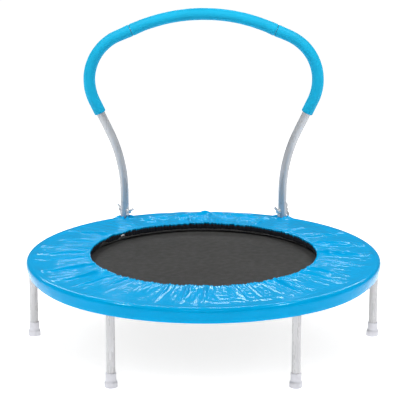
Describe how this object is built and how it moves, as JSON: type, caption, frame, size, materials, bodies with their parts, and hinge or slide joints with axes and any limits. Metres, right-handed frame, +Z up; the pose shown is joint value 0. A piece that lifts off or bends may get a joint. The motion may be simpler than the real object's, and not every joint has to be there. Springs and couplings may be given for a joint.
{
  "type": "mini trampoline",
  "caption": "Round mini trampoline on screw-in legs, with a sprung mat, a gathered vinyl spring cover and a foam-padded rear handle hoop.",
  "frame": {"origin": "on the floor under the middle of the round frame", "axes": "+Z up, -Y is the front where the user steps on, +Y the rear where the handle stands"},
  "size_m": [0.924, 0.92, 0.8136],
  "materials": {
    "galvanised_tube": "zinc plated tube, satin",
    "zinc_fasteners": "bright zinc plate",
    "spring_steel": "zinc plated spring wire",
    "blue_vinyl": "glossy blue vinyl, gathered",
    "blue_foam": "matte blue closed-cell foam",
    "pad_foam": "white polyethylene foam",
    "elastic": "braided elastic",
    "black_mesh": "woven polypropylene mat, matte",
    "black_webbing": "woven webbing",
    "white_plastic": "moulded white plastic, satin"
  },
  "bodies": {
    "frame": {"frame_tube_left": "galvanised_tube", "frame_tube_front": "galvanised_tube", "frame_tube_right": "galvanised_tube", "frame_joint_screws": "zinc_fasteners", "spring_staples": "spring_steel", "springs": "spring_steel", "leg_sockets": "galvanised_tube", "handle_post_left": "galvanised_tube", "handle_post_right": "galvanised_tube", "handle_tube_left": "galvanised_tube", "handle_tube_right": "galvanised_tube", "handle_tube_top": "galvanised_tube", "handle_grip_left": "blue_foam", "handle_grip_right": "blue_foam", "handle_grip_top": "blue_foam", "handle_joint_screws": "zinc_fasteners", "handle_bolt_left": "zinc_fasteners", "handle_bolt_right": "zinc_fasteners", "handle_bolt_washers": "zinc_fasteners", "cover_pad": "blue_vinyl", "cover_foam": "pad_foam", "cover_hem_elastic": "elastic", "cover_skirt_elastic": "elastic"},
    "mat": {"mat": "black_mesh", "mat_webbing": "black_webbing", "mat_v_rings": "spring_steel"},
    "leg_washer_right": {"leg_washer_right": "zinc_fasteners"},
    "leg_right": {"leg_tube_right": "galvanised_tube", "leg_stud_right": "zinc_fasteners", "foot_right": "white_plastic"},
    "leg_washer_rear_right": {"leg_washer_rear_right": "zinc_fasteners"},
    "leg_rear_right": {"leg_tube_rear_right": "galvanised_tube", "leg_stud_rear_right": "zinc_fasteners", "foot_rear_right": "white_plastic"},
    "leg_washer_rear_left": {"leg_washer_rear_left": "zinc_fasteners"},
    "leg_rear_left": {"leg_tube_rear_left": "galvanised_tube", "leg_stud_rear_left": "zinc_fasteners", "foot_rear_left": "white_plastic"},
    "leg_washer_left": {"leg_washer_left": "zinc_fasteners"},
    "leg_left": {"leg_tube_left": "galvanised_tube", "leg_stud_left": "zinc_fasteners", "foot_left": "white_plastic"},
    "leg_washer_front_left": {"leg_washer_front_left": "zinc_fasteners"},
    "leg_front_left": {"leg_tube_front_left": "galvanised_tube", "leg_stud_front_left": "zinc_fasteners", "foot_front_left": "white_plastic"},
    "leg_washer_front_right": {"leg_washer_front_right": "zinc_fasteners"},
    "leg_front_right": {"leg_tube_front_right": "galvanised_tube", "leg_stud_front_right": "zinc_fasteners", "foot_front_right": "white_plastic"},
    "wing_nut_washer_right": {"wing_nut_washer_right": "zinc_fasteners"},
    "wing_nut_right": {"wing_nut_right": "zinc_fasteners"},
    "wing_nut_washer_left": {"wing_nut_washer_left": "zinc_fasteners"},
    "wing_nut_left": {"wing_nut_left": "zinc_fasteners"}
  },
  "joints": [
    {"name": "mat_bounce", "type": "slide", "parent": "frame", "child": "mat", "axis": [0, 0, 1], "range_m": [-0.07, 0], "stiffness_N_per_m": 5000, "deforming": ["springs"]},
    {"name": "leg_right_drop", "type": "slide", "parent": "frame", "child": "leg_washer_right", "axis": [0, 0, -1], "range_m": [0, 0.0225]},
    {"name": "leg_right_unscrew", "type": "hinge", "parent": "leg_washer_right", "child": "leg_right", "pos_m": [0.4455, 0, 0.1], "axis": [0, 0, 1], "range_deg": [0, 5402]},
    {"name": "leg_rear_right_drop", "type": "slide", "parent": "frame", "child": "leg_washer_rear_right", "axis": [0, 0, -1], "range_m": [0, 0.0225]},
    {"name": "leg_rear_right_unscrew", "type": "hinge", "parent": "leg_washer_rear_right", "child": "leg_rear_right", "pos_m": [0.22275, 0.38581, 0.1], "axis": [0, 0, 1], "range_deg": [0, 5402]},
    {"name": "leg_rear_left_drop", "type": "slide", "parent": "frame", "child": "leg_washer_rear_left", "axis": [0, 0, -1], "range_m": [0, 0.0225]},
    {"name": "leg_rear_left_unscrew", "type": "hinge", "parent": "leg_washer_rear_left", "child": "leg_rear_left", "pos_m": [-0.22275, 0.38581, 0.1], "axis": [0, 0, 1], "range_deg": [0, 5402]},
    {"name": "leg_left_drop", "type": "slide", "parent": "frame", "child": "leg_washer_left", "axis": [0, 0, -1], "range_m": [0, 0.0225]},
    {"name": "leg_left_unscrew", "type": "hinge", "parent": "leg_washer_left", "child": "leg_left", "pos_m": [-0.4455, 0, 0.1], "axis": [0, 0, 1], "range_deg": [0, 5402]},
    {"name": "leg_front_left_drop", "type": "slide", "parent": "frame", "child": "leg_washer_front_left", "axis": [0, 0, -1], "range_m": [0, 0.0225]},
    {"name": "leg_front_left_unscrew", "type": "hinge", "parent": "leg_washer_front_left", "child": "leg_front_left", "pos_m": [-0.22275, -0.38581, 0.1], "axis": [0, 0, 1], "range_deg": [0, 5402]},
    {"name": "leg_front_right_drop", "type": "slide", "parent": "frame", "child": "leg_washer_front_right", "axis": [0, 0, -1], "range_m": [0, 0.0225]},
    {"name": "leg_front_right_unscrew", "type": "hinge", "parent": "leg_washer_front_right", "child": "leg_front_right", "pos_m": [0.22275, -0.38581, 0.1], "axis": [0, 0, 1], "range_deg": [0, 5402]},
    {"name": "wing_nut_right_travel", "type": "slide", "parent": "frame", "child": "wing_nut_washer_right", "axis": [-0.7071, -0.7071, 0], "range_m": [0, 0.008]},
    {"name": "wing_nut_right_unscrew", "type": "hinge", "parent": "wing_nut_washer_right", "child": "wing_nut_right", "pos_m": [0.21073, 0.37379, 0.239], "axis": [-0.7071, -0.7071, 0], "range_deg": [0, 2882]},
    {"name": "wing_nut_left_travel", "type": "slide", "parent": "frame", "child": "wing_nut_washer_left", "axis": [0.7071, -0.7071, 0], "range_m": [0, 0.008]},
    {"name": "wing_nut_left_unscrew", "type": "hinge", "parent": "wing_nut_washer_left", "child": "wing_nut_left", "pos_m": [-0.21073, 0.37379, 0.239], "axis": [0.7071, -0.7071, 0], "range_deg": [0, 2882]}
  ],
  "couplings": [
    {"joint": "leg_right_unscrew", "follows": "leg_right_drop", "rad_per_m": 4188.8},
    {"joint": "leg_rear_right_unscrew", "follows": "leg_rear_right_drop", "rad_per_m": 4188.8},
    {"joint": "leg_rear_left_unscrew", "follows": "leg_rear_left_drop", "rad_per_m": 4188.8},
    {"joint": "leg_left_unscrew", "follows": "leg_left_drop", "rad_per_m": 4188.8},
    {"joint": "leg_front_left_unscrew", "follows": "leg_front_left_drop", "rad_per_m": 4188.8},
    {"joint": "leg_front_right_unscrew", "follows": "leg_front_right_drop", "rad_per_m": 4188.8},
    {"joint": "wing_nut_right_unscrew", "follows": "wing_nut_right_travel", "rad_per_m": 6283.2},
    {"joint": "wing_nut_left_unscrew", "follows": "wing_nut_left_travel", "rad_per_m": 6283.2}
  ]
}
